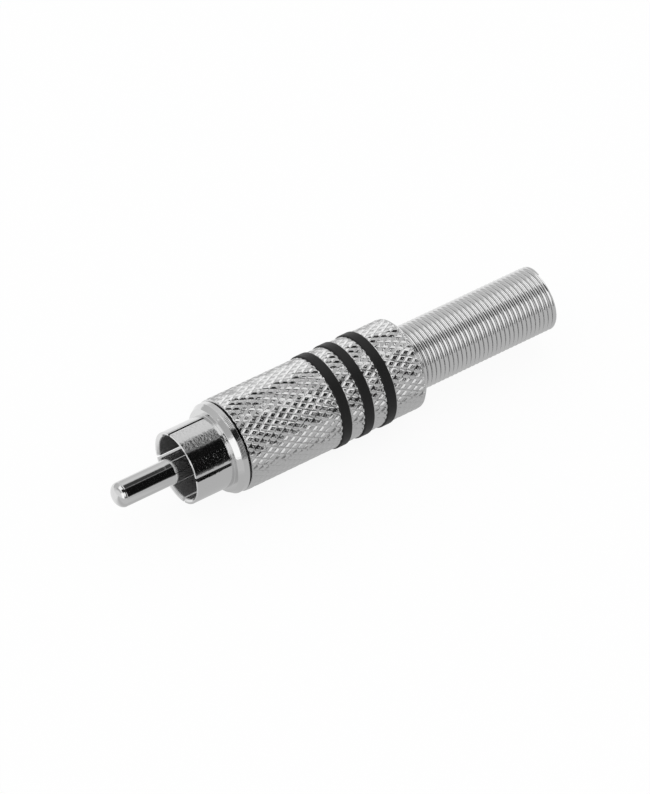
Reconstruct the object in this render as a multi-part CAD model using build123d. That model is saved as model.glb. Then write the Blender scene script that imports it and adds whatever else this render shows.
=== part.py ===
from build123d import *
import os

# Coaxial audio plug with a screw-on knurled handle and a coil-spring strain relief.
# Millimetres. The plug's axis is X: the centre pin points to -X, the cable leaves to +X.
# The origin is on the axis in the collar's front face, where the split skirt begins.
# Angles about the axis run from +Y towards +Z.

# Centre pin: domed nose, straight contact length, thicker root, riveted shank, solder cup
pin_diameter = 3.2
pin_reach = 9.0
pin_root_diameter = 3.9
pin_root_reach = 1.1
pin_taper_length = 0.6
pin_shank_diameter = 3.0
rivet_head_diameter = 4.0
rivet_head_length = 0.5
solder_cup_diameter = 2.7
solder_cup_length = 6.0
solder_cup_bore = 1.7
solder_cup_depth = 5.0
solder_cup_opening = 3.0

# Ground shell: split skirt, collar, web that carries the insulators, threaded spigot
skirt_diameter = 9.37
skirt_wall = 0.58
skirt_length = 5.3
mouth_chamfer = 0.3
slit_count = 4
slit_width = 0.38
slit_length = 5.0
first_slit_angle = 71.5
collar_step = 0.15
collar_bevel_height = 0.45
collar_bevel_length = 0.68
collar_length = 1.4
web_setback = 0.4
web_thickness = 1.0
spigot_length = 6.2
spigot_wall = 0.75
spigot_chamfer = 0.3

# Insulators on each side of the web
front_flange_thickness = 0.9
rear_washer_thickness = 1.0

# Ground lug: ring on the web, solder strip with a hole, cradle with two crimp ears
lug_thickness = 0.4
lug_gap = 0.15
lug_ring_width = 1.2
strip_angle = 60.0
solder_hole_diameter = 1.4
solder_hole_place = 10.5
clamp_place = 14.0
clamp_length = 4.0
clamp_inset = 0.2
ear_height = 0.9

# Handle: knurled barrel that screws onto the spigot and carries the spring
handle_diameter = 12.0
handle_length = 26.0
handle_seam = 0.1
front_edge_chamfer = 0.25
rear_edge_chamfer = 0.4
socket_wall = 1.0
thread_clearance = 0.05
thread_socket_length = 7.0
chamber_wall = 1.3
stop_wall = 1.2
spring_ledge = 0.575
spring_seat_depth = 1.5

# Colour rings in grooves round the handle
ring_count = 3
ring_height = 0.15
ring_width = 1.3
ring_pitch = 3.3
last_ring_setback = 4.8
groove_depth = 0.55

# Insulating sleeve inside the handle
sleeve_wall = 0.35
sleeve_gap = 0.1
sleeve_end_gap = 0.3

# Strain relief: close-wound coil spring, wire ends on top
spring_diameter = 8.45
wire_diameter = 0.62
coil_pitch = 0.655
coil_turns = 34
wire_end_angle = 94.5

# Clearance between pieces that are pressed or riveted together
seat_clearance = 0.02

# Places along the axis
rim_x = -skirt_length
pin_tip_x = rim_x - pin_reach
pin_dome_x = pin_tip_x + pin_diameter / 2
pin_root_x = rim_x - pin_root_reach
web_front_x = web_setback
web_rear_x = web_front_x + web_thickness
flange_front_x = web_front_x - front_flange_thickness
lug_rear_x = web_rear_x + lug_thickness
washer_rear_x = lug_rear_x + rear_washer_thickness
rivet_rear_x = washer_rear_x + rivet_head_length
cup_rear_x = rivet_rear_x + solder_cup_length
spigot_rear_x = collar_length + spigot_length
handle_front_x = collar_length + handle_seam
handle_rear_x = handle_front_x + handle_length
spring_seat_x = handle_rear_x - spring_seat_depth
chamber_rear_x = spring_seat_x - stop_wall
socket_rear_x = handle_front_x + thread_socket_length
clamp_rear_x = clamp_place + clamp_length

# Radii from the handle inwards: collar, thread, wiring chamber, spigot, lug
handle_radius = handle_diameter / 2
groove_radius = handle_radius - groove_depth
ring_radius = handle_radius + ring_height
collar_radius = handle_radius - collar_step
collar_face_radius = collar_radius - collar_bevel_height
socket_radius = handle_radius - socket_wall
thread_radius = socket_radius - thread_clearance
chamber_radius = handle_radius - chamber_wall
cavity_radius = thread_radius - spigot_wall
lug_radius = cavity_radius - lug_gap
lug_inner_radius = lug_radius - lug_thickness
clamp_radius = lug_inner_radius - clamp_inset
web_hole_radius = lug_radius - lug_ring_width

# Radii from the pin, the skirt and the spring
skirt_bore_radius = skirt_diameter / 2 - skirt_wall
boss_radius = web_hole_radius - seat_clearance
shank_radius = pin_shank_diameter / 2
spring_seat_radius = spring_diameter / 2 + seat_clearance
cable_hole_radius = spring_diameter / 2 - spring_ledge


def turned(corners):
    """Solid turned about the plug's axis from an outline of (x, radius) corners."""
    return revolve(make_face(Polyline(*corners, close=True)), Axis.X)


def bent_band(x_start, x_end, inner, outer, angle):
    """Strip of sheet bent about the axis, its middle at the bottom of the plug."""
    section = [(x_start, inner), (x_end, inner), (x_end, outer), (x_start, outer)]
    band = revolve(make_face(Polyline(*section, close=True)), Axis.X, revolution_arc=angle)
    return Rot(-90 - angle / 2, 0, 0) * band


def ring_start(index):
    """Front end of a colour ring, counted from the plug's front."""
    last_start = handle_rear_x - last_ring_setback - ring_width
    return last_start - (ring_count - 1 - index) * ring_pitch


def make_center_pin():
    """Turned pin with a blind solder cup whose far end is milled half open."""
    radius = pin_diameter / 2
    root = pin_root_diameter / 2
    nose = CenterArc((pin_dome_x, 0), radius, 90, 90)
    body = Polyline(
        (pin_dome_x, radius),
        (pin_root_x - pin_taper_length, radius),
        (pin_root_x, root),
        (flange_front_x, root),
        (flange_front_x, shank_radius),
        (washer_rear_x, shank_radius),
        (washer_rear_x, rivet_head_diameter / 2),
        (rivet_rear_x, rivet_head_diameter / 2),
        (rivet_rear_x, solder_cup_diameter / 2),
        (cup_rear_x, solder_cup_diameter / 2),
        (cup_rear_x, solder_cup_bore / 2),
        (cup_rear_x - solder_cup_depth, solder_cup_bore / 2),
        (cup_rear_x - solder_cup_depth, 0),
        (pin_tip_x, 0),
    )
    pin = revolve(make_face([nose, body]), Axis.X)
    opening = Box(
        2 * solder_cup_opening,
        2 * solder_cup_diameter,
        solder_cup_diameter,
        align=(Align.CENTER, Align.CENTER, Align.MIN),
    )
    return pin - Pos(cup_rear_x, 0, 0) * opening


def make_ground_shell():
    """Turned shell with slits that let the skirt grip a jack."""
    shell = turned(
        [
            (rim_x, skirt_diameter / 2),
            (0, skirt_diameter / 2),
            (0, collar_face_radius),
            (collar_bevel_length, collar_radius),
            (collar_length, collar_radius),
            (collar_length, thread_radius),
            (spigot_rear_x - spigot_chamfer, thread_radius),
            (spigot_rear_x, thread_radius - spigot_chamfer),
            (spigot_rear_x, cavity_radius),
            (web_rear_x, cavity_radius),
            (web_rear_x, web_hole_radius),
            (web_front_x, web_hole_radius),
            (web_front_x, skirt_bore_radius),
            (rim_x + mouth_chamfer, skirt_bore_radius),
            (rim_x, skirt_bore_radius + mouth_chamfer),
        ]
    )
    overrun = mouth_chamfer
    slit = Pos(rim_x - overrun, 0, 0) * Box(
        slit_length + overrun,
        skirt_diameter,
        slit_width,
        align=(Align.MIN, Align.MIN, Align.CENTER),
    )
    for index in range(slit_count):
        shell -= Rot(first_slit_angle + index * 360 / slit_count, 0, 0) * slit
    return shell


def make_pin_insulator():
    """Flanged bush: its flange fills the skirt's floor, its boss lines the web's hole."""
    bore = shank_radius + seat_clearance
    flange = skirt_bore_radius - seat_clearance
    return turned(
        [
            (flange_front_x, bore),
            (flange_front_x, flange),
            (web_front_x, flange),
            (web_front_x, boss_radius),
            (lug_rear_x, boss_radius),
            (lug_rear_x, bore),
        ]
    )


def make_rear_insulator():
    """Washer between the ground lug and the pin's rivet head."""
    bore = shank_radius + seat_clearance
    outer = lug_inner_radius - lug_gap
    return turned(
        [
            (lug_rear_x, bore),
            (lug_rear_x, outer),
            (washer_rear_x, outer),
            (washer_rear_x, bore),
        ]
    )


def make_ground_lug():
    """Stamped lug: ring against the web, strip along the bottom, open cable cradle."""
    ring = turned(
        [
            (web_rear_x, web_hole_radius),
            (web_rear_x, lug_radius),
            (lug_rear_x, lug_radius),
            (lug_rear_x, web_hole_radius),
        ]
    )
    strip = bent_band(web_rear_x, clamp_rear_x, lug_inner_radius, lug_radius, strip_angle)
    cradle_radius = clamp_radius + lug_thickness
    cradle = bent_band(clamp_place, clamp_rear_x, clamp_radius, cradle_radius, 180)
    lug = ring + strip + cradle
    ear = Box(
        clamp_length,
        lug_thickness,
        ear_height,
        align=(Align.MIN, Align.MIN, Align.MIN),
    )
    lug += Pos(clamp_place, clamp_radius, 0) * ear
    lug += Pos(clamp_place, -cradle_radius, 0) * ear
    solder_hole = Cylinder(
        solder_hole_diameter / 2,
        2 * lug_radius,
        align=(Align.CENTER, Align.CENTER, Align.MAX),
    )
    return lug - Pos(solder_hole_place, 0, 0) * solder_hole


def make_insulating_sleeve():
    """Thin tube between the solder joints and the handle."""
    outer = chamber_radius - sleeve_gap
    inner = outer - sleeve_wall
    start = spigot_rear_x + sleeve_end_gap
    end = chamber_rear_x - sleeve_end_gap
    return turned([(start, inner), (start, outer), (end, outer), (end, inner)])


def make_handle_barrel():
    """Barrel with a thread socket, ring grooves, a wiring chamber and the spring's seat."""
    outside = [
        (handle_front_x, handle_radius - front_edge_chamfer),
        (handle_front_x + front_edge_chamfer, handle_radius),
    ]
    for index in range(ring_count):
        start = ring_start(index) - seat_clearance
        end = ring_start(index) + ring_width + seat_clearance
        outside += [(start, handle_radius), (start, groove_radius)]
        outside += [(end, groove_radius), (end, handle_radius)]
    outside += [
        (handle_rear_x - rear_edge_chamfer, handle_radius),
        (handle_rear_x, handle_radius - rear_edge_chamfer),
    ]
    inside = [
        (handle_rear_x, spring_seat_radius),
        (spring_seat_x, spring_seat_radius),
        (spring_seat_x, cable_hole_radius),
        (chamber_rear_x, cable_hole_radius),
        (chamber_rear_x, chamber_radius),
        (socket_rear_x, chamber_radius),
        (socket_rear_x, socket_radius),
        (handle_front_x, socket_radius),
    ]
    return turned(outside + inside)


def make_color_ring(index):
    """Plastic ring that stands slightly proud of the knurl."""
    start = ring_start(index)
    end = start + ring_width
    inner = groove_radius + seat_clearance
    return turned([(start, inner), (start, ring_radius), (end, ring_radius), (end, inner)])


def coil_line(height, radius):
    """One turn of helix about Z that starts at a height."""
    return Pos(0, 0, height) * Helix(pitch=coil_pitch, height=coil_pitch, radius=radius)


def make_strain_relief_spring():
    """Close-wound spring: its turns touch, so they are one tube with a helical ridge."""
    ridge_radius = spring_diameter / 2
    valley_radius = ridge_radius - wire_diameter / 2
    bore_radius = ridge_radius - wire_diameter
    core_radius = bore_radius - wire_diameter / 2
    faces = []
    for turn in range(coil_turns):
        height = turn * coil_pitch
        valley = coil_line(height, valley_radius)
        ridge = coil_line(height + coil_pitch / 2, ridge_radius)
        next_valley = coil_line(height + coil_pitch, valley_radius)
        core = coil_line(height, core_radius)
        next_core = coil_line(height + coil_pitch, core_radius)
        faces.append(Face.make_surface_from_curves(valley, ridge))
        faces.append(Face.make_surface_from_curves(ridge, next_valley))
        faces.append(Face.make_surface_from_curves(next_core, core))
    for height in (0, coil_turns * coil_pitch):
        core = coil_line(height, core_radius)
        valley = coil_line(height, valley_radius)
        faces.append(Face.make_surface_from_curves(core, valley))
        wire_end = [
            (core_radius, 0, height),
            (valley_radius, 0, height),
            (ridge_radius, 0, height + coil_pitch / 2),
            (valley_radius, 0, height + coil_pitch),
            (core_radius, 0, height + coil_pitch),
        ]
        faces.append(make_face(Polyline(*wire_end, close=True)).face())
    length = (coil_turns + 1) * coil_pitch
    coil = Solid(Shell(faces)) - Cylinder(bore_radius, 2 * length)
    coil = Rot(0, 0, wire_end_angle + 90) * coil
    return Pos(spring_seat_x, 0, 0) * Rot(0, 90, 0) * coil


pieces = {
    "center_pin": make_center_pin(),
    "ground_shell": make_ground_shell(),
    "pin_insulator": make_pin_insulator(),
    "rear_insulator": make_rear_insulator(),
    "ground_lug": make_ground_lug(),
    "insulating_sleeve": make_insulating_sleeve(),
    "handle_barrel": make_handle_barrel(),
    "strain_relief_spring": make_strain_relief_spring(),
}
for number in range(ring_count):
    pieces[f"color_ring_{number + 1}"] = make_color_ring(number)

os.makedirs("parts", exist_ok=True)
for name, piece in pieces.items():
    export_step(piece, f"parts/{name}.step")
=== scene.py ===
"""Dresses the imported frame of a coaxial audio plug: fine meshes, finishes, studio, camera.

Laid out as a Blender add-on and run as a script. The plug's axis is X and its centre pin
points to -X. Meshes are worked out in millimetres and turned into metres as they are made.
"""
import math

import bmesh
import bpy
import numpy as np
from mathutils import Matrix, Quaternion, Vector


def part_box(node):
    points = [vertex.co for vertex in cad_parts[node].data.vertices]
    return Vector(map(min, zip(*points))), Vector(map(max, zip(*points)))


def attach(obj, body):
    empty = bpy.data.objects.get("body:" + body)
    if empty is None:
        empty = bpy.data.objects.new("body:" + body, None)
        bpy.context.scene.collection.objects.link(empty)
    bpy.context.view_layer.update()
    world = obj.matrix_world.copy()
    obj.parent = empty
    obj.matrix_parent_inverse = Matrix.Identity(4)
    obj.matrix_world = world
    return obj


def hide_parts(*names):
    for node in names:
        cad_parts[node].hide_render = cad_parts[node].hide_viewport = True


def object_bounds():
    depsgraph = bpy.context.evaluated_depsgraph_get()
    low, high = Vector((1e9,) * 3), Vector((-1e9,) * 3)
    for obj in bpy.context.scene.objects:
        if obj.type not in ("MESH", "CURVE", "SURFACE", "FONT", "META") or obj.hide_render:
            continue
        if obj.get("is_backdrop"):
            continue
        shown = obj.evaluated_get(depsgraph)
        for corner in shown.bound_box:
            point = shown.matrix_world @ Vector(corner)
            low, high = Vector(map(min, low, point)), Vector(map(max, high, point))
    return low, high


bl_info = {
    "name": "Audio Plug Looks",
    "version": (1, 0, 0),
    "blender": (4, 5, 0),
    "location": "View3D > Sidebar > Audio Plug",
    "description": "Builds the turned, knurled and wound pieces of an audio plug",
    "category": "Object",
}

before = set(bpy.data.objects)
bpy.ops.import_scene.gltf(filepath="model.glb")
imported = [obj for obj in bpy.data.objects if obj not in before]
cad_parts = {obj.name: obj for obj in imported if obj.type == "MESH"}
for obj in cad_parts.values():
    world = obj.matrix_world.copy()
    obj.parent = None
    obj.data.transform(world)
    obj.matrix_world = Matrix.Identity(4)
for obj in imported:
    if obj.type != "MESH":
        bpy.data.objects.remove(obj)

MM = 0.001
FULL_TURN = 2 * math.pi

# Places along the axis in millimetres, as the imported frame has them
PIN_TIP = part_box("center_pin")[0].x / MM
CUP_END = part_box("center_pin")[1].x / MM
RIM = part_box("ground_shell")[0].x / MM
SPIGOT_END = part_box("ground_shell")[1].x / MM
BARREL_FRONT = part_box("handle_barrel")[0].x / MM
BARREL_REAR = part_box("handle_barrel")[1].x / MM
COIL_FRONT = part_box("strain_relief_spring")[0].x / MM
COIL_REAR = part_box("strain_relief_spring")[1].x / MM

# The black rings, and what they stand clear of their grooves by, in millimetres
RING_NODES = ["color_ring_1", "color_ring_2", "color_ring_3"]
RING_GAP = 0.02

# Radii between which the shell's surface is its bore, and between which the plating's
# ripple grows from the pin's to the collar's
BORE_FROM, BORE_TO = 2.3 * MM, 4.2 * MM
RIPPLE_FROM, RIPPLE_TO = 2.5 * MM, 4.5 * MM


def length(name, description, millimetres):
    """A size that the user changes, kept in metres."""
    return bpy.props.FloatProperty(
        name=name,
        description=description,
        default=millimetres * MM,
        min=0.0,
        precision=5,
        subtype="DISTANCE",
        unit="LENGTH",
    )


def linear(hex_colour):
    """Linear RGBA of an sRGB hex colour."""
    values = [int(hex_colour[i : i + 2], 16) / 255 for i in (1, 3, 5)]
    values = [v / 12.92 if v <= 0.04045 else ((v + 0.055) / 1.055) ** 2.4 for v in values]
    return (*values, 1.0)


def colour(name, description, hex_colour):
    """A colour that the user changes."""
    return bpy.props.FloatVectorProperty(
        name=name,
        description=description,
        default=linear(hex_colour),
        min=0.0,
        max=1.0,
        size=4,
        subtype="COLOR",
    )


class PlugTurnedSizes(bpy.types.PropertyGroup):
    """Sizes of the turned pin and shell."""

    pin_diameter: length("Pin", "Diameter of the pin's contact length", 3.2)
    pin_nose: length("Pin nose", "Length of the domed nose", 1.15)
    pin_root_diameter: length("Pin root", "Diameter of the root inside the skirt", 3.3)
    pin_root_reach: length("Root reach", "How far the root stands out of the skirt", 1.1)
    pin_taper: length("Pin taper", "Length of the taper to the root", 0.6)
    skirt_diameter: length("Skirt", "Outside diameter of the split skirt", 9.37)
    skirt_wall: length("Skirt wall", "Thickness of the skirt", 0.58)
    mouth_chamfer: length("Mouth chamfer", "Chamfer inside the skirt's rim", 0.3)
    slit_width: length("Slit width", "Width of the sawn slits", 0.38)
    slit_length: length("Slit length", "Length of the sawn slits", 5.0)
    first_slit: bpy.props.FloatProperty(
        name="First slit",
        description="Angle of the first slit about the axis",
        default=math.radians(71.5),
        subtype="ANGLE",
        unit="ROTATION",
    )
    collar_diameter: length("Collar", "Outside diameter of the collar", 11.7)
    collar_face_diameter: length("Collar face", "Diameter of the flat face", 10.8)
    collar_bevel: length("Collar bevel", "Length of the bevel behind the face", 0.68)
    collar_length: length("Collar length", "Length of the whole collar", 1.4)
    thread_diameter: length("Thread", "Outside diameter of the spigot's thread", 9.9)
    thread_pitch: length("Thread pitch", "Distance between the thread's crests", 0.75)
    thread_height: length("Thread height", "Height of the thread's crests", 0.42)
    edge_ease: length("Edge ease", "How far sharp edges are rounded by the plating", 0.04)
    feed_marks: length("Feed marks", "Distance between tool marks on the collar", 0.16)
    feed_depth: length("Feed depth", "Depth of the tool marks on the collar", 0.006)
    pin_shank_diameter: length("Pin shank", "Diameter of the shank in the insulators", 3.0)
    rivet_head_diameter: length("Rivet head", "Diameter of the head behind the washer", 4.0)
    rivet_head_length: length("Rivet head length", "Thickness of the rivet head", 0.5)
    cup_diameter: length("Solder cup", "Outside diameter of the solder cup", 2.7)
    cup_bore: length("Cup bore", "Bore of the solder cup", 1.7)
    cup_depth: length("Cup depth", "Depth of the solder cup", 5.0)
    cup_opening: length("Cup opening", "Length of the cup that is milled half open", 3.0)
    web_front: length("Web front", "From the collar's face to the web", 0.4)
    web_thickness: length("Web", "Thickness of the web that carries the insulators", 1.0)
    web_hole_diameter: length("Web hole", "Hole in the web", 5.7)
    spigot_wall: length("Spigot wall", "Wall of the threaded spigot", 0.75)


class PlugHandleSizes(bpy.types.PropertyGroup):
    """Sizes of the knurled handle, its rings and the spring."""

    barrel_diameter: length("Handle", "Diameter over the knurl's crests", 12.0)
    front_seam: length("Front seam", "Extra shadow gap at the collar", 0.1)
    front_chamfer: length("Front chamfer", "Chamfer at the collar", 0.06)
    rear_chamfer: length("Rear chamfer", "Chamfer at the spring", 0.4)
    knurl_starts: bpy.props.IntProperty(
        name="Knurl starts",
        description="Grooves of each hand round the handle",
        default=38,
        min=8,
    )
    knurl_period: length("Knurl period", "Distance between diamonds along the axis", 1.62)
    knurl_depth: length("Knurl depth", "Depth of the knurl's grooves", 0.15)
    knurl_margin: length("Plain edge", "Plain rim beside the rings and at the ends", 0.05)
    groove_depth: length("Ring groove", "Depth of the rings' grooves", 0.55)
    ring_ease: length("Ring edge", "Rounding of the plastic rings' edges", 0.1)
    socket_diameter: length("Socket", "Thread socket at the handle's front", 10.0)
    socket_length: length("Socket length", "Depth of the thread socket", 7.0)
    chamber_diameter: length("Chamber", "Bore of the wiring chamber", 9.4)
    stop_wall: length("Stop wall", "Wall between the chamber and the spring", 1.2)
    cable_hole_diameter: length("Cable hole", "Hole in the stop wall", 7.3)
    spring_seat_diameter: length("Spring seat", "Bore that holds the spring", 8.49)
    wire_diameter: length("Wire", "Diameter of the spring's wire", 0.62)
    coil_pitch: length("Coil pitch", "Distance between the spring's turns", 0.655)
    wire_end_angle: bpy.props.FloatProperty(
        name="Wire end",
        description="Angle of the spring's cut end about the axis",
        default=math.radians(91.0),
        subtype="ANGLE",
        unit="ROTATION",
    )
    wire_end_taper: bpy.props.FloatProperty(
        name="Wire end taper",
        description="Angle over which the shears left the wire's end thinner",
        default=math.radians(80.0),
        subtype="ANGLE",
        unit="ROTATION",
    )


class PlugColours(bpy.types.PropertyGroup):
    """Colours of the finishes and the floor."""

    nickel: colour("Nickel", "Bright nickel plate", "#DEDEDE")
    # Darker nickel colour used between the bore's radii inside the skirt
    dull_nickel: colour("Dull nickel", "Thin nickel inside the skirt", "#B4B4B4")
    knurl_nickel: colour("Knurl nickel", "Nickel plate on the knurl", "#D6D6D6")
    wire_nickel: colour("Wire nickel", "Nickel plate on the spring's wire", "#E2E2E2")
    ring_black: colour("Ring black", "Moulded plastic rings", "#141414")
    insulator_black: colour("Insulator black", "Turned insulators", "#161616")
    sleeve_white: colour("Sleeve white", "Extruded insulating tube", "#D9D8D2")
    floor_white: colour("Floor white", "Pale studio floor", "#F8F8F8")


def millimetres(group, name):
    """A size of a property group in millimetres."""
    return getattr(group, name) / MM


def eased_profile(corners, ease, steps=3):
    """Rounds the corners of an (x, radius) outline. A corner may give its own ease third."""
    points = []
    count = len(corners)
    for index, corner in enumerate(corners):
        here = np.array(corner[:2], float)
        before = np.array(corners[index - 1][:2], float)
        after = np.array(corners[(index + 1) % count][:2], float)
        reach = corner[2] if len(corner) > 2 else ease
        if reach == 0:
            points.append(tuple(here))
            continue
        back, on = before - here, after - here
        reach = min(reach, np.linalg.norm(back) / 3, np.linalg.norm(on) / 3)
        back, on = back / np.linalg.norm(back), on / np.linalg.norm(on)
        start, end = here + back * reach, here + on * reach
        points.append(tuple(start + back * reach * 0.3))
        for step in range(steps + 1):
            t = step / steps
            points.append(tuple(start * (1 - t) ** 2 + here * 2 * t * (1 - t) + end * t**2))
        points.append(tuple(end + on * reach * 0.3))
    return points


def around_axis(along, radius, angle):
    """Points in millimetres at places along the axis, radii and angles about it."""
    along, radius, angle = np.broadcast_arrays(along, radius, angle)
    return np.stack([along, radius * np.cos(angle), radius * np.sin(angle)], axis=-1)


def mesh_from(name, points, faces, sharp_degrees=40):
    """Mesh in metres with its faces turned outward and smooth but for sharp edges."""
    mesh = bpy.data.meshes.new(name)
    mesh.from_pydata((points.reshape(-1, 3) * MM).tolist(), [], faces)
    work = bmesh.new()
    work.from_mesh(mesh)
    bmesh.ops.recalc_face_normals(work, faces=work.faces)
    work.to_mesh(mesh)
    work.free()
    mesh.shade_smooth()
    mesh.set_sharp_from_angle(angle=math.radians(sharp_degrees))
    return mesh


def grid_faces(rows, columns, close_rows, close_columns, keep=None):
    """Quads of a grid of points, numbered row by row."""
    faces = []
    for row in range(rows if close_rows else rows - 1):
        for column in range(columns if close_columns else columns - 1):
            if keep is None or keep(row, column):
                next_row = (row + 1) % rows
                next_column = (column + 1) % columns
                faces.append(
                    (
                        row * columns + column,
                        row * columns + next_column,
                        next_row * columns + next_column,
                        next_row * columns + column,
                    )
                )
    return faces


def add_piece(name, mesh, material, body, nodes):
    """Puts a piece in the scene, on its body, in place of its CAD nodes."""
    piece = bpy.data.objects.new(name, mesh)
    bpy.context.scene.collection.objects.link(piece)
    mesh.materials.append(material)
    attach(piece, body)
    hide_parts(*nodes)


def add_node(tree, kind, values=None, **settings):
    """Adds a node, sets its properties, and gives its inputs values or links."""
    node = tree.nodes.new(kind)
    for name, value in settings.items():
        setattr(node, name, value)
    for key, value in (values or {}).items():
        if isinstance(value, bpy.types.NodeSocket):
            tree.links.new(value, node.inputs[key])
        else:
            node.inputs[key].default_value = value
    return node


def new_material(name):
    """An empty material: its tree, its shader and the place on the piece."""
    material = bpy.data.materials.new(name)
    material.use_nodes = True
    tree = material.node_tree
    tree.nodes.clear()
    shader = add_node(tree, "ShaderNodeBsdfPrincipled")
    add_node(tree, "ShaderNodeOutputMaterial", {"Surface": shader.outputs[0]})
    place = add_node(tree, "ShaderNodeTexCoord").outputs["Object"]
    return material, tree, shader, place


def radius_about_axis(tree, place):
    """Distance from the plug's axis."""
    flat = add_node(tree, "ShaderNodeVectorMath", {0: place, 1: (0, 1, 1)}, operation="MULTIPLY")
    distance = add_node(tree, "ShaderNodeVectorMath", {0: flat.outputs[0]}, operation="LENGTH")
    return distance.outputs["Value"]


def tool_lines(tree, place, stretch, size):
    """Noise of a size in millimetres, drawn out along the axes whose stretch is small."""
    stretched = add_node(tree, "ShaderNodeMapping", {"Vector": place, "Scale": stretch})
    return add_node(
        tree,
        "ShaderNodeTexNoise",
        {"Vector": stretched.outputs[0], "Scale": 1 / (size * MM), "Detail": 2.0},
    ).outputs[0]


def raise_surface(tree, shader, height, depth):
    """Lets a texture raise the surface by up to a depth in millimetres."""
    bump = add_node(
        tree,
        "ShaderNodeBump",
        {"Height": height, "Strength": 1.0, "Distance": depth * MM},
    )
    tree.links.new(bump.outputs[0], shader.inputs["Normal"])


def spread_roughness(tree, shader, grain, least, most):
    """Lets a texture vary the roughness between two values."""
    haze = add_node(tree, "ShaderNodeMapRange", {"Value": grain, "To Min": least, "To Max": most})
    tree.links.new(haze.outputs[0], shader.inputs["Roughness"])


def bright_nickel_on_turned_brass(colours):
    """Bright nickel plated on turned brass: mirror-like, with a soft ripple where the
    plating levels the tool marks, and faint rings left by the turning tool. Between the
    bore's radii inside the skirt it takes a darker colour and a higher roughness, so the
    bore stays a smooth dark grey."""
    material, tree, shader, place = new_material("bright_nickel_on_turned_brass")
    shader.inputs["Metallic"].default_value = 1.0
    radius = radius_about_axis(tree, place)
    beyond = add_node(tree, "ShaderNodeMath", {0: radius, 1: BORE_FROM}, operation="GREATER_THAN")
    within = add_node(tree, "ShaderNodeMath", {0: radius, 1: BORE_TO}, operation="LESS_THAN")
    bored = add_node(
        tree, "ShaderNodeMath", {0: beyond.outputs[0], 1: within.outputs[0]}, operation="MULTIPLY"
    ).outputs[0]
    # Darker colour and higher roughness between the bore's radii inside the skirt
    tone = add_node(
        tree,
        "ShaderNodeMix",
        {0: bored, 6: colours.nickel, 7: colours.dull_nickel},
        data_type="RGBA",
    )
    ripple = add_node(
        tree,
        "ShaderNodeTexNoise",
        {"Vector": place, "Scale": 1 / (0.3 * MM), "Detail": 2.0, "Roughness": 0.5},
    )
    rings = tool_lines(tree, place, (1.0, 0.04, 0.04), 0.12)
    ring_bump = add_node(
        tree,
        "ShaderNodeBump",
        {"Height": rings, "Strength": 1.0, "Distance": 0.0006 * MM},
    )
    wavy = add_node(
        tree,
        "ShaderNodeMapRange",
        {
            "Value": radius,
            "From Min": RIPPLE_FROM,
            "From Max": RIPPLE_TO,
            "To Min": 0.35,
            "To Max": 1.0,
        },
    )
    bump = add_node(
        tree,
        "ShaderNodeBump",
        {
            "Height": ripple.outputs[0],
            "Strength": wavy.outputs[0],
            "Distance": 0.013 * MM,
            "Normal": ring_bump.outputs[0],
        },
    )
    haze = add_node(
        tree,
        "ShaderNodeMapRange",
        {"Value": ripple.outputs[0], "To Min": 0.03, "To Max": 0.09},
    )
    rough = add_node(tree, "ShaderNodeMix", {0: bored, 2: haze.outputs[0], 3: 0.5})
    tree.links.new(tone.outputs[2], shader.inputs["Base Color"])
    tree.links.new(rough.outputs[0], shader.inputs["Roughness"])
    tree.links.new(bump.outputs[0], shader.inputs["Normal"])
    return material


def nickel_on_knurled_brass(colours):
    """Nickel plated over a rolled diamond knurl: bright, with the grain of the rolled
    metal on the diamonds' tops, so each one sparkles a little differently."""
    material, tree, shader, place = new_material("nickel_on_knurled_brass")
    shader.inputs["Base Color"].default_value = colours.knurl_nickel
    shader.inputs["Metallic"].default_value = 1.0
    grain = add_node(
        tree,
        "ShaderNodeTexNoise",
        {"Vector": place, "Scale": 1 / (0.2 * MM), "Detail": 3.0, "Roughness": 0.6},
    )
    raise_surface(tree, shader, grain.outputs[0], 0.009)
    spread_roughness(tree, shader, grain.outputs[0], 0.05, 0.14)
    return material


def nickel_on_drawn_wire(colours):
    """Nickel on drawn spring wire: bright, with fine lines along the wire's turns."""
    material, tree, shader, place = new_material("nickel_on_drawn_wire")
    shader.inputs["Base Color"].default_value = colours.wire_nickel
    shader.inputs["Metallic"].default_value = 1.0
    shader.inputs["Roughness"].default_value = 0.12
    lines = tool_lines(tree, place, (1.0, 0.15, 0.15), 0.1)
    raise_surface(tree, shader, lines, 0.0015)
    return material


def black_moulded_plastic(colours):
    """Black moulded plastic of the rings: soft sheen with the mould's fine grain."""
    material, tree, shader, place = new_material("black_moulded_plastic")
    shader.inputs["Base Color"].default_value = colours.ring_black
    shader.inputs["Specular IOR Level"].default_value = 0.3
    grain = add_node(
        tree,
        "ShaderNodeTexNoise",
        {"Vector": place, "Scale": 1 / (0.25 * MM), "Detail": 3.0},
    )
    raise_surface(tree, shader, grain.outputs[0], 0.01)
    spread_roughness(tree, shader, grain.outputs[0], 0.4, 0.55)
    return material


def black_turned_insulator(colours):
    """Black insulating rod, turned: matt, with the tool's rings."""
    material, tree, shader, place = new_material("black_turned_insulator")
    shader.inputs["Base Color"].default_value = colours.insulator_black
    shader.inputs["Roughness"].default_value = 0.5
    # A wave texture repeats every pi / 10 of its scale, so these rings are 0.38 mm apart
    rings = add_node(
        tree,
        "ShaderNodeTexWave",
        {"Vector": place, "Scale": 1 / (1.2 * MM), "Distortion": 0.6},
        wave_type="RINGS",
        rings_direction="X",
    )
    raise_surface(tree, shader, rings.outputs["Fac"], 0.01)
    return material


def white_extruded_tube(colours):
    """White extruded insulating tube: satin, with faint draw lines along the axis."""
    material, tree, shader, place = new_material("white_extruded_tube")
    shader.inputs["Base Color"].default_value = colours.sleeve_white
    shader.inputs["Roughness"].default_value = 0.45
    lines = tool_lines(tree, place, (0.05, 1.0, 1.0), 0.3)
    raise_surface(tree, shader, lines, 0.01)
    return material


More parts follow.
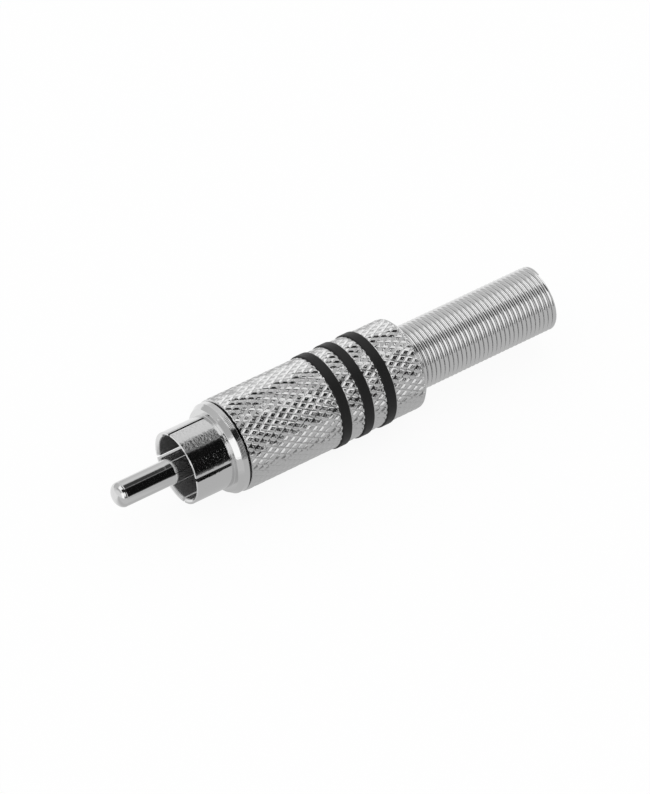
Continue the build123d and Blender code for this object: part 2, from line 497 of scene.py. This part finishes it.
class MakeCenterPin(bpy.types.Operator):
    """Turned centre pin with a domed nose, a thicker root and a solder cup."""

    bl_idname = "plug.center_pin"
    bl_label = "Centre pin"

    def execute(self, context):
        sizes = context.scene.plug_turned
        radius = millimetres(sizes, "pin_diameter") / 2
        nose = millimetres(sizes, "pin_nose")
        root = millimetres(sizes, "pin_root_diameter") / 2
        root_front = RIM - millimetres(sizes, "pin_root_reach")
        taper_front = root_front - millimetres(sizes, "pin_taper")
        ease = millimetres(sizes, "edge_ease")
        flange_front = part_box("pin_insulator")[0].x / MM
        washer_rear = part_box("rear_insulator")[1].x / MM
        shank = millimetres(sizes, "pin_shank_diameter") / 2
        head = millimetres(sizes, "rivet_head_diameter") / 2
        cup = millimetres(sizes, "cup_diameter") / 2
        bore = millimetres(sizes, "cup_bore") / 2
        head_rear = washer_rear + millimetres(sizes, "rivet_head_length")
        cup_floor = CUP_END - millimetres(sizes, "cup_depth")
        opening = CUP_END - millimetres(sizes, "cup_opening")
        taper_mid = (taper_front + root_front) / 2
        taper_reach = 0.75 * millimetres(sizes, "pin_taper")
        taper_rows, dome, columns = 15, 28, 128
        taper = []
        for s in np.linspace(-1, 1, taper_rows):
            rise = (root - radius) * (0.5 + 0.75 * s - 0.25 * s**3)
            taper.append((taper_mid + s * taper_reach, radius + rise, 0))
        # Faint mark where the nose meets the straight length: places behind it, and depths
        nose_mark = ((0.02, 0.0), (0.1, 0.02), (0.2, 0.005))
        profile = [
            (PIN_TIP + nose * (1 - math.cos(a)), radius * math.sin(a))
            for a in np.linspace(0.01, math.pi / 2, dome)
        ]
        profile += eased_profile(
            [
                *[(PIN_TIP + nose + place, radius - depth, 0) for place, depth in nose_mark],
                *taper,
                (flange_front, root),
                (flange_front, shank),
                (washer_rear, shank),
                (washer_rear, head),
                (head_rear, head, 0.15),
                (head_rear, cup),
                (opening, cup, 0),
                (CUP_END, cup),
                (CUP_END, bore),
                (opening, bore, 0),
                (cup_floor, bore),
                (cup_floor, 0.02, 0),
            ],
            ease,
        )
        angles = np.arange(columns) * FULL_TURN / columns
        places = np.array(profile)
        points = around_axis(places[:, :1], places[:, 1:], angles[None, :])
        rows = len(profile)
        first = next(i for i in range(dome, rows) if profile[i] == (opening, cup))
        last = next(i for i in range(first, rows) if profile[i] == (opening, bore))
        half = columns // 2

        def keep(row, column):
            return not (first <= row < last and column < half)

        faces = grid_faces(rows, columns, False, True, keep)
        faces.append(tuple(range(columns)))
        faces.append(tuple((rows - 1) * columns + c for c in range(columns)))
        for column in range(half):
            faces.append(
                (
                    first * columns + column,
                    first * columns + column + 1,
                    last * columns + column + 1,
                    last * columns + column,
                )
            )
        for column in (0, half):
            faces.append(tuple(row * columns + column for row in range(first, last + 1)))
        mesh = mesh_from("turned_pin", points, faces)
        material = bright_nickel_on_turned_brass(context.scene.plug_colours)
        add_piece("turned_pin", mesh, material, "plug_body", ["center_pin"])
        return {"FINISHED"}


class MakeGroundShell(bpy.types.Operator):
    """Turned shell: split skirt, collar with tool marks, web and threaded spigot."""

    bl_idname = "plug.ground_shell"
    bl_label = "Ground shell"

    def execute(self, context):
        sizes = context.scene.plug_turned
        skirt = millimetres(sizes, "skirt_diameter") / 2
        bore = skirt - millimetres(sizes, "skirt_wall")
        mouth = millimetres(sizes, "mouth_chamfer")
        slit_end = RIM + millimetres(sizes, "slit_length")
        half_slit = millimetres(sizes, "slit_width") / 2
        collar = millimetres(sizes, "collar_diameter") / 2
        face = millimetres(sizes, "collar_face_diameter") / 2
        bevel = millimetres(sizes, "collar_bevel")
        collar_rear = millimetres(sizes, "collar_length")
        thread = millimetres(sizes, "thread_diameter") / 2
        pitch = millimetres(sizes, "thread_pitch")
        ease = millimetres(sizes, "edge_ease")
        web_front = millimetres(sizes, "web_front")
        web_rear = web_front + millimetres(sizes, "web_thickness")
        web_hole = millimetres(sizes, "web_hole_diameter") / 2
        cavity = thread - millimetres(sizes, "spigot_wall")
        marks = millimetres(sizes, "feed_marks")
        feed_depth = millimetres(sizes, "feed_depth")
        thread_lead, end_chamfer = 0.25, 0.3
        burr = 0.03
        land = [
            (x, collar - feed_depth * abs(math.cos(math.pi * (x - bevel) / marks)) ** 3, 0)
            for x in np.arange(bevel + 0.1, collar_rear - 0.08, marks / 8)
        ]
        thread_start, thread_end = collar_rear + thread_lead, SPIGOT_END - end_chamfer
        threads = [(x, thread, 0) for x in np.arange(thread_start, thread_end, pitch / 12)]
        corners = [
            (slit_end, skirt, 0),
            (0.0, skirt, 0.06),
            (0.0, face, 0.05),
            (bevel, collar, 0.05),
            *land,
            (collar_rear, collar),
            (collar_rear, thread),
            *threads,
            (thread_end, thread, 0),
            (SPIGOT_END, thread - end_chamfer),
            (SPIGOT_END, cavity),
            (web_rear, cavity),
            (web_rear, web_hole),
            (web_front, web_hole),
            (web_front, bore),
            (slit_end, bore, 0),
            (RIM + mouth, bore),
            (RIM, bore + mouth, 0.03),
            (RIM, skirt, 0.07),
        ]
        profile = eased_profile(corners, ease)
        places = np.array(profile)
        rows = len(profile)
        inner_end = max(i for i, p in enumerate(profile) if p == (slit_end, bore))
        slit_rows = [*range(inner_end, rows), 0]

        slits, edge = 4, half_slit + burr
        clear, between = math.radians(6), 42
        centres = [sizes.first_slit + k * FULL_TURN / slits for k in range(slits)]
        kinds = []
        for centre in centres:
            kinds += [(centre, -edge), (centre, -half_slit), (centre, 0.0)]
            kinds += [(centre, half_slit), (centre, edge)]
            free = np.linspace(centre + clear, centre + FULL_TURN / slits - clear, between)
            kinds += [(angle, None) for angle in free]
        columns = len(kinds)
        radius = np.repeat(places[:, 1:], columns, axis=1)
        along = np.repeat(places[:, :1], columns, axis=1)
        angle = np.zeros((rows, columns))
        for column, (centre, offset) in enumerate(kinds):
            if offset is None:
                angle[:, column] = centre
                continue
            if abs(offset) == half_slit:
                turn = np.where(places[:, 1] > skirt - 0.3, -burr, burr)
                inside = [r for r in slit_rows if places[r, 0] < slit_end]
                radius[inside, column] += turn[inside]
            angle[:, column] = centre + np.arcsin(offset / radius[:, column])
        is_thread = (along > thread_start - 0.01) & (along < thread_end + 0.01)
        is_thread &= radius > cavity + 0.3
        phase = (along / pitch - angle / FULL_TURN) % 1.0
        fade = np.clip((along - thread_start) / 0.3, 0, 1)
        fade = fade * np.clip((thread_end - along) / 0.2, 0, 1)
        # Straight flanks down to a flat root
        groove = np.clip(1.15 - 2.3 * np.abs(phase - 0.5), 0, 0.9)
        height = millimetres(sizes, "thread_height")
        radius = np.where(is_thread, radius - height * groove * fade, radius)
        points = around_axis(along, radius, angle)

        per_slit = columns // slits
        slit_columns = {k * per_slit + c for k in range(slits) for c in (1, 2)}
        open_rows = set(slit_rows[:-1])

        def keep(row, column):
            return not (row in open_rows and column in slit_columns)

        faces = grid_faces(rows, columns, True, True, keep)
        for k in range(slits):
            left, middle, right = (k * per_slit + c for c in (1, 2, 3))
            for column in (left, right):
                faces.append(tuple(row * columns + column for row in slit_rows))
            faces.append(
                (left, middle, right)
                + tuple(inner_end * columns + c for c in (right, middle, left))
            )
        mesh = mesh_from("turned_shell", points, faces)
        material = bpy.data.materials["bright_nickel_on_turned_brass"]
        add_piece("turned_shell", mesh, material, "plug_body", ["ground_shell"])
        return {"FINISHED"}


class MakeKnurledBarrel(bpy.types.Operator):
    """Knurled handle with plain rims, ring grooves, a bore and the spring's seat."""

    bl_idname = "plug.knurled_barrel"
    bl_label = "Knurled handle"

    # Hand of each roll's grooves with its share of the depth, how unevenly the rolls
    # pressed, how fast a groove rises across a diamond, and the diamond's small tip
    HANDS = ((1, 0.75), (-1, 0.9))
    UNEVENNESS = 0.28
    STEEPNESS = 2.1
    TIP_HEIGHT = 0.08

    def knurl_cut(self, starts, period, along, angle):
        """Share of the knurl's depth that is cut: a deep groove of one hand, a shallower
        groove of the other, pressed a little unevenly, and flats with a small tip."""
        waves = np.sin(3 * angle + 0.9 * along) * np.sin(7 * angle - 1.3 * along + 2)
        uneven = 1 + self.UNEVENNESS * waves
        cuts, nearest = [], np.ones_like(along)
        for hand, share in self.HANDS:
            phase = (starts * angle / FULL_TURN + hand * along / period) % 1.0
            across = 2 * np.abs(phase - 0.5)
            cuts.append(share * uneven * np.clip(1 - self.STEEPNESS * across, 0, 1))
            nearest = np.minimum(nearest, across)
        tip = np.clip(nearest * 4 - 3, 0, 1)
        return self.TIP_HEIGHT * (1 - tip) + np.maximum(*cuts)

    def execute(self, context):
        sizes = context.scene.plug_handle
        outer = millimetres(sizes, "barrel_diameter") / 2
        depth = millimetres(sizes, "knurl_depth")
        period = millimetres(sizes, "knurl_period")
        starts = sizes.knurl_starts
        margin = millimetres(sizes, "knurl_margin")
        front = millimetres(sizes, "front_chamfer")
        rear = millimetres(sizes, "rear_chamfer")
        seat = millimetres(sizes, "spring_seat_diameter") / 2
        hole = millimetres(sizes, "cable_hole_diameter") / 2
        chamber = millimetres(sizes, "chamber_diameter") / 2
        socket = millimetres(sizes, "socket_diameter") / 2
        stop_front = COIL_FRONT - millimetres(sizes, "stop_wall")
        socket_rear = BARREL_FRONT + millimetres(sizes, "socket_length")
        begin = BARREL_FRONT + millimetres(sizes, "front_seam")
        floor = outer - millimetres(sizes, "groove_depth")
        samples = 8
        step = period / (2 * samples)
        rear_gap, wall, drop = 0.05, 0.03, 0.05
        wear, fade_length, edge_cut = 0.04, 0.1, 0.3
        bands, start = [], begin + front
        for node in RING_NODES:
            low, high = (corner.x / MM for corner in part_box(node))
            bands.append((start, low - RING_GAP))
            start = high + rear_gap
        bands.append((start, BARREL_REAR - rear))
        rows = [(begin, outer - depth - front), (begin + front / 2, outer - depth)]
        for index, (low, high) in enumerate(bands):
            lattice = np.arange(math.ceil(low / step + 0.2), math.floor(high / step - 0.2) + 1)
            rows += [(low, outer)] + [(k * step, outer) for k in lattice] + [(high, outer)]
            if index < len(bands) - 1:
                edge = bands[index + 1][0]
                rows += [(high, floor), (edge - wall, floor), (edge - wall, outer - drop)]
        rows += [(BARREL_REAR - drop, outer - rear), (BARREL_REAR, outer - rear - drop)]
        rows += eased_profile(
            [
                (BARREL_REAR, seat),
                (COIL_FRONT, seat, 0),
                (COIL_FRONT, hole, 0),
                (stop_front, hole, 0),
                (stop_front, chamber, 0),
                (socket_rear, chamber, 0),
                (socket_rear, socket, 0),
                (begin, socket),
            ],
            0.06,
        )
        columns = starts * samples
        places = np.array(rows)
        along = np.repeat(places[:, :1], columns, axis=1)
        radius = np.repeat(places[:, 1:], columns, axis=1)
        odd = np.array([round(x / step) % 2 if r == outer else 0 for x, r in rows])
        angle = (np.arange(columns)[None, :] + odd[:, None] / 2) * FULL_TURN / columns
        pressed = self.knurl_cut(starts, period, along, angle)
        worn = wear * np.random.default_rng(7).random(pressed.shape)
        ends = np.min([np.abs(along - x) for band in bands for x in band], axis=0)
        fade = np.clip((ends - margin) / fade_length, 0, 1)
        cut = depth * ((pressed + worn) * fade + edge_cut * (1 - fade))
        radius = np.where(radius == outer, radius - cut, radius)
        points = around_axis(along, radius, angle)
        faces = []
        count = len(rows)
        for row in range(count):
            next_row = (row + 1) % count
            for column in range(columns):
                here, here_next = row * columns + column, row * columns + (column + 1) % columns
                if odd[row] <= odd[next_row]:
                    ahead = next_row * columns + column
                    faces.append((here, here_next, ahead))
                    faces.append((here_next, next_row * columns + (column + 1) % columns, ahead))
                else:
                    ahead = next_row * columns + (column + 1) % columns
                    faces.append((here, here_next, ahead))
                    faces.append((here, ahead, next_row * columns + column))
        mesh = mesh_from("knurled_barrel", points, faces, 60)
        is_knurl = places[:, 1] == outer
        smooth = ~(is_knurl & np.roll(is_knurl, -1))
        mesh.polygons.foreach_set("use_smooth", np.repeat(smooth, 2 * columns))
        material = nickel_on_knurled_brass(context.scene.plug_colours)
        add_piece("knurled_barrel", mesh, material, "handle", ["handle_barrel"])
        return {"FINISHED"}


class MakeColourRings(bpy.types.Operator):
    """Three black plastic rings with rounded edges."""

    bl_idname = "plug.colour_rings"
    bl_label = "Colour rings"

    def execute(self, context):
        sizes = context.scene.plug_handle
        ease = millimetres(sizes, "ring_ease")
        bottom = millimetres(sizes, "barrel_diameter") / 2 - millimetres(sizes, "groove_depth")
        floor = bottom + RING_GAP
        material = black_moulded_plastic(context.scene.plug_colours)
        columns, hidden_ease, steps = 192, 0.03, 5
        angles = np.arange(columns) * FULL_TURN / columns
        for node in RING_NODES:
            low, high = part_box(node)
            front, rear, outer = low.x / MM, high.x / MM, high.z / MM
            profile = eased_profile(
                [
                    (front, floor, hidden_ease),
                    (front, outer),
                    (rear, outer),
                    (rear, floor, hidden_ease),
                ],
                ease,
                steps,
            )
            places = np.array(profile)
            points = around_axis(places[:, :1], places[:, 1:], angles[None, :])
            faces = grid_faces(len(profile), columns, True, True)
            name = node.replace("color", "plastic")
            mesh = mesh_from(name, points, faces)
            add_piece(name, mesh, material, "handle", [node])
        return {"FINISHED"}


class MakeSpring(bpy.types.Operator):
    """Close-wound spring of round wire whose end the shears left thinner."""

    bl_idname = "plug.spring"
    bl_label = "Spring"

    def execute(self, context):
        sizes = context.scene.plug_handle
        wire = millimetres(sizes, "wire_diameter") / 2
        pitch = millimetres(sizes, "coil_pitch")
        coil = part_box("strain_relief_spring")[1].z / MM - wire
        height = COIL_REAR - COIL_FRONT - 2 * wire
        turns = round(height / pitch)
        per_turn, sides, thinnest = 72, 14, 0.3
        rows = turns * per_turn + 1
        turn = np.linspace(0, turns, rows)
        end = sizes.wire_end_angle
        angle = end - (turns - turn) * FULL_TURN
        middle = COIL_FRONT + wire + height * turn / turns
        lean = math.atan2(height / turns, FULL_TURN * coil)
        side = np.arange(sides) * FULL_TURN / sides
        to_end = np.clip((turns - turn) * FULL_TURN / sizes.wire_end_taper, 0, 1)
        thin = (thinnest + (1 - thinnest) * np.sin(to_end * math.pi / 2))[:, None]
        out = wire * thin * np.cos(side)[None, :]
        across = wire * thin * np.sin(side)[None, :]
        along = middle[:, None] - wire * (1 - thin) + across * math.cos(lean)
        swing = across * math.sin(lean) / coil
        points = around_axis(along, coil + out, angle[:, None] - swing)
        faces = grid_faces(rows, sides, False, True)
        faces.append(tuple(range(sides)))
        faces.append(tuple((rows - 1) * sides + c for c in range(sides)))
        mesh = mesh_from("coil_spring", points, faces)
        material = nickel_on_drawn_wire(context.scene.plug_colours)
        add_piece("coil_spring", mesh, material, "handle", ["strain_relief_spring"])
        return {"FINISHED"}


class FinishInnerParts(bpy.types.Operator):
    """Finishes of the CAD nodes inside the plug: lug, insulators and sleeve."""

    bl_idname = "plug.inner_parts"
    bl_label = "Inner parts"

    def execute(self, context):
        colours = context.scene.plug_colours
        black = black_turned_insulator(colours)
        finishes = {
            "ground_lug": bpy.data.materials["bright_nickel_on_turned_brass"],
            "pin_insulator": black,
            "rear_insulator": black,
            "insulating_sleeve": white_extruded_tube(colours),
        }
        for node, material in finishes.items():
            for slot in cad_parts[node].material_slots:
                slot.material = material
        return {"FINISHED"}


class MakeStage(bpy.types.Operator):
    """Pale floor, soft studio light and the camera."""

    bl_idname = "plug.stage"
    bl_label = "Stage"

    # Each band of the studio begins at a share of the way along the plug's axis, -1 to 1,
    # over a soft edge, and holds its brightness against degrees about the axis, from the
    # front over the top. BRIGHTEST is the brightness of a soft box in its middle.
    BRIGHTEST = 1.3
    BANDS = [
        (-1.0, 0.02, [(-180, 0.85), (180, 0.85)]),
        (
            -0.78,
            0.1,
            [
                (-180, 0.8), (-60, 0.95), (-40, 1.3), (54, 1.3), (64, 0.5), (130, 0.46),
                (160, 0.7), (180, 0.8),
            ],
        ),
        (-0.54, 0.02, [(-180, 0.6), (-60, 0.9), (-40, 1.3), (112, 1.3), (124, 0.6), (180, 0.55)]),
        (
            -0.43,
            0.02,
            [
                (-180, 0.6), (-40, 0.9), (-8, 0.9), (-2, 0.2), (12, 0.2), (22, 0.9), (32, 1.1),
                (50, 1.1), (55, 0.02), (80, 0.02), (85, 1.15), (118, 1.15), (126, 0.6),
                (180, 0.55),
            ],
        ),
        (
            0.15,
            0.03,
            [
                (-180, 0.64), (-90, 0.6), (-12, 0.56), (-3, 0.42), (4, 0.05), (10, 0.005),
                (66, 0.005), (74, 0.02), (76, 0.24), (79, 0.24), (81, 0.05), (106, 0.05),
                (111, 0.25), (115, 0.7), (130, 0.76), (150, 0.66), (180, 0.64),
            ],
        ),
        (
            0.382,
            0.003,
            [
                (-180, 0.75), (-90, 0.6), (-12, 0.56), (-3, 0.42), (3, 0.06), (8, 0.005),
                (70, 0.005), (76, 0.1), (82, 0.32), (108, 0.44), (114, 0.78), (150, 0.84),
                (180, 0.75),
            ],
        ),
        (
            0.452,
            0.012,
            [
                (-180, 0.6), (-20, 0.62), (42, 0.66), (48, 0.1), (52, 0.04), (74, 0.04),
                (78, 0.5), (82, 1.2), (113, 1.2), (119, 0.55), (180, 0.55),
            ],
        ),
        (
            0.62,
            0.02,
            [
                (-180, 0.55), (-20, 0.62), (86, 0.62), (95, 1.3), (150, 1.3), (160, 0.6),
                (180, 0.55),
            ],
        ),
        (0.9, 0.02, [(-180, 0.6), (80, 0.6), (110, 1.2), (140, 0.6), (180, 0.55)]),
    ]

    # Painted light on the floor, a glow that only the metal sees: its strength beside the plug
    # and at its brightest, with the places in metres over which that painted glow grows behind
    # the plug, ahead of the pin and to its side
    PAINTED_FLOOR_LIGHT = {"To Min": 0.56, "To Max": 0.95}
    BEHIND = {"From Min": -0.002, "From Max": 0.004}
    AHEAD = {"From Min": -0.003, "From Max": -0.008}
    ASIDE = {"From Min": -0.004, "From Max": -0.007}
    CORNER_SHARE = 0.2
    FLOOR_HALF_SIDE = 1.5
    # How much of the floor the camera sees as plain white; the rest holds the shadow
    FLOOR_WHITE = 0.92

    # The camera's lens and sensor in millimetres, the shift that frames the plug as the
    # photo does, what it looks at, from which way, how far off in metres, and its roll
    LENS, SENSOR = 199.2, 36.0
    SHIFT = -0.0012, 0.00085
    TARGET = 0.01643, 0.0, 0.0
    WAY = -0.41628, -0.6025, 0.6810
    DISTANCE = 0.534
    ROLL = math.radians(-0.1)

    def band(self, tree, share, stops):
        """Colour ramp with a grey for each place about the axis."""
        ramp = add_node(tree, "ShaderNodeValToRGB", {"Fac": share})
        elements = ramp.color_ramp.elements
        elements.remove(elements[-1])
        for index, (degrees, value) in enumerate(stops):
            place = (degrees + 180) / 360
            element = elements[0] if index == 0 else elements.new(place)
            element.position = place
            grey = value / self.BRIGHTEST
            element.color = (grey, grey, grey, 1.0)
        return ramp.outputs[0]

    def make_world(self, scene):
        """Soft boxes of a small light tent, seen only in the metal, and a plain white field."""
        world = bpy.data.worlds.new("studio")
        world.use_nodes = True
        tree = world.node_tree
        tree.nodes.clear()
        way = add_node(tree, "ShaderNodeTexCoord").outputs["Generated"]
        parts = add_node(tree, "ShaderNodeSeparateXYZ", {"Vector": way}).outputs
        back = add_node(tree, "ShaderNodeMath", {0: parts[1], 1: -1.0}, operation="MULTIPLY")
        turn = add_node(
            tree, "ShaderNodeMath", {0: parts[2], 1: back.outputs[0]}, operation="ARCTAN2"
        )
        share = add_node(
            tree,
            "ShaderNodeMapRange",
            {"Value": turn.outputs[0], "From Min": -math.pi, "From Max": math.pi},
        ).outputs[0]
        studio = self.band(tree, share, self.BANDS[0][2])
        for place, soft, stops in self.BANDS[1:]:
            past = add_node(
                tree,
                "ShaderNodeMapRange",
                {"Value": parts[0], "From Min": place - soft, "From Max": place + soft},
                interpolation_type="SMOOTHSTEP",
            )
            studio = add_node(
                tree,
                "ShaderNodeMix",
                {0: past.outputs[0], 6: studio, 7: self.band(tree, share, stops)},
                data_type="RGBA",
            ).outputs[2]
        rays = add_node(tree, "ShaderNodeLightPath").outputs
        mirrored = add_node(
            tree,
            "ShaderNodeMath",
            {0: rays["Is Glossy Ray"], 1: rays["Is Transmission Ray"]},
            operation="MAXIMUM",
        )
        seen = add_node(
            tree,
            "ShaderNodeMix",
            {0: mirrored.outputs[0], 6: (1.0, 1.0, 1.0, 1.0), 7: studio},
            data_type="RGBA",
        )
        level = add_node(
            tree,
            "ShaderNodeMath",
            {0: mirrored.outputs[0], 1: self.BRIGHTEST - 1, 2: 1.0},
            operation="MULTIPLY_ADD",
        )
        light = add_node(
            tree,
            "ShaderNodeBackground",
            {"Color": seen.outputs[2], "Strength": level.outputs[0]},
        )
        add_node(tree, "ShaderNodeOutputWorld", {"Surface": light.outputs[0]})
        scene.world = world

    def make_floor(self, context):
        """Pale floor: white to the camera but for the plug's soft shadow, and in the metal a
        painted glow, stronger behind the plug and ahead of its pin than beside it."""
        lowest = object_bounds()[0][2]
        mesh = bpy.data.meshes.new("floor")
        side = self.FLOOR_HALF_SIDE
        corners = [(-side, -side), (side, -side), (side, side), (-side, side)]
        mesh.from_pydata([(x, y, lowest) for x, y in corners], [], [(0, 1, 2, 3)])
        floor = bpy.data.objects.new("floor", mesh)
        context.scene.collection.objects.link(floor)
        material = bpy.data.materials.new("matt_white_board")
        material.use_nodes = True
        tree = material.node_tree
        tree.nodes.clear()
        painted = context.scene.plug_colours.floor_white
        board = add_node(tree, "ShaderNodeBsdfDiffuse", {"Color": painted})
        place = add_node(tree, "ShaderNodeTexCoord").outputs["Object"]
        parts = add_node(tree, "ShaderNodeSeparateXYZ", {"Vector": place}).outputs
        behind = add_node(
            tree,
            "ShaderNodeMapRange",
            {"Value": parts[1], **self.BEHIND},
            interpolation_type="SMOOTHSTEP",
        )
        ahead = add_node(
            tree,
            "ShaderNodeMapRange",
            {"Value": parts[0], **self.AHEAD},
            interpolation_type="SMOOTHSTEP",
        )
        aside = add_node(
            tree,
            "ShaderNodeMapRange",
            {"Value": parts[1], **self.ASIDE},
            interpolation_type="SMOOTHSTEP",
        )
        corner = add_node(
            tree,
            "ShaderNodeMath",
            {0: ahead.outputs[0], 1: aside.outputs[0]},
            operation="MULTIPLY",
        )
        dimmed = add_node(
            tree,
            "ShaderNodeMath",
            {0: corner.outputs[0], 1: self.CORNER_SHARE},
            operation="MULTIPLY",
        )
        most = add_node(
            tree,
            "ShaderNodeMath",
            {0: behind.outputs[0], 1: dimmed.outputs[0]},
            operation="MAXIMUM",
        )
        # Painted light: the floor's glow as the metal sees it, stronger behind the plug and ahead
        # of its pin
        painted_light = add_node(
            tree,
            "ShaderNodeMapRange",
            {"Value": most.outputs[0], **self.PAINTED_FLOOR_LIGHT},
        )
        rays = add_node(tree, "ShaderNodeLightPath").outputs
        white = add_node(
            tree, "ShaderNodeEmission", {"Color": (1.0, 1.0, 1.0, 1.0), "Strength": 1.0}
        )
        mirrored = add_node(tree, "ShaderNodeEmission", {"Strength": painted_light.outputs[0]})
        glossy = add_node(
            tree,
            "ShaderNodeMixShader",
            {0: rays["Is Glossy Ray"], 1: board.outputs[0], 2: mirrored.outputs[0]},
        )
        share = add_node(
            tree,
            "ShaderNodeMath",
            {0: rays["Is Camera Ray"], 1: self.FLOOR_WHITE},
            operation="MULTIPLY",
        )
        surface = add_node(
            tree,
            "ShaderNodeMixShader",
            {0: share.outputs[0], 1: glossy.outputs[0], 2: white.outputs[0]},
        )
        add_node(tree, "ShaderNodeOutputMaterial", {"Surface": surface.outputs[0]})
        mesh.materials.append(material)
        floor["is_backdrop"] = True

    def make_camera(self, scene):
        """Camera at the photo's angle, a long lens above the plug's front."""
        camera = bpy.data.cameras.new("camera")
        camera.lens = self.LENS
        camera.sensor_width = self.SENSOR
        camera.clip_start = 0.01
        camera.clip_end = 10.0
        camera.shift_x, camera.shift_y = self.SHIFT
        holder = bpy.data.objects.new("camera", camera)
        scene.collection.objects.link(holder)
        way = Vector(self.WAY)
        holder.location = Vector(self.TARGET) + way * self.DISTANCE
        roll = Quaternion((0.0, 0.0, 1.0), self.ROLL)
        holder.rotation_mode = "QUATERNION"
        holder.rotation_quaternion = (-way).to_track_quat("-Z", "Y") @ roll
        scene.camera = holder

    def execute(self, context):
        scene = context.scene
        self.make_world(scene)
        self.make_floor(context)
        self.make_camera(scene)
        scene.view_settings.view_transform = "Standard"
        return {"FINISHED"}


STEPS = [
    MakeCenterPin,
    MakeGroundShell,
    MakeKnurledBarrel,
    MakeColourRings,
    MakeSpring,
    FinishInnerParts,
    MakeStage,
]
GROUPS = {
    "plug_turned": PlugTurnedSizes,
    "plug_handle": PlugHandleSizes,
    "plug_colours": PlugColours,
}


class PlugPanel(bpy.types.Panel):
    """Sizes, colours and making steps of the plug."""

    bl_idname = "VIEW3D_PT_audio_plug"
    bl_label = "Audio Plug"
    bl_space_type = "VIEW_3D"
    bl_region_type = "UI"
    bl_category = "Audio Plug"

    def draw(self, context):
        for name, group in GROUPS.items():
            box = self.layout.box()
            for field in group.__annotations__:
                box.prop(getattr(context.scene, name), field)
        for step in STEPS:
            self.layout.operator(step.bl_idname)


def register():
    for kind in [*GROUPS.values(), *STEPS, PlugPanel]:
        bpy.utils.register_class(kind)
    for name, group in GROUPS.items():
        setattr(bpy.types.Scene, name, bpy.props.PointerProperty(type=group))


def unregister():
    for name in GROUPS:
        delattr(bpy.types.Scene, name)
    for kind in reversed([*GROUPS.values(), *STEPS, PlugPanel]):
        bpy.utils.unregister_class(kind)


def main():
    """Registers the add-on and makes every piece."""
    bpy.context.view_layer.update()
    register()
    for step in STEPS:
        module, name = step.bl_idname.split(".")
        getattr(getattr(bpy.ops, module), name)()


if __name__ == "__main__":
    main()
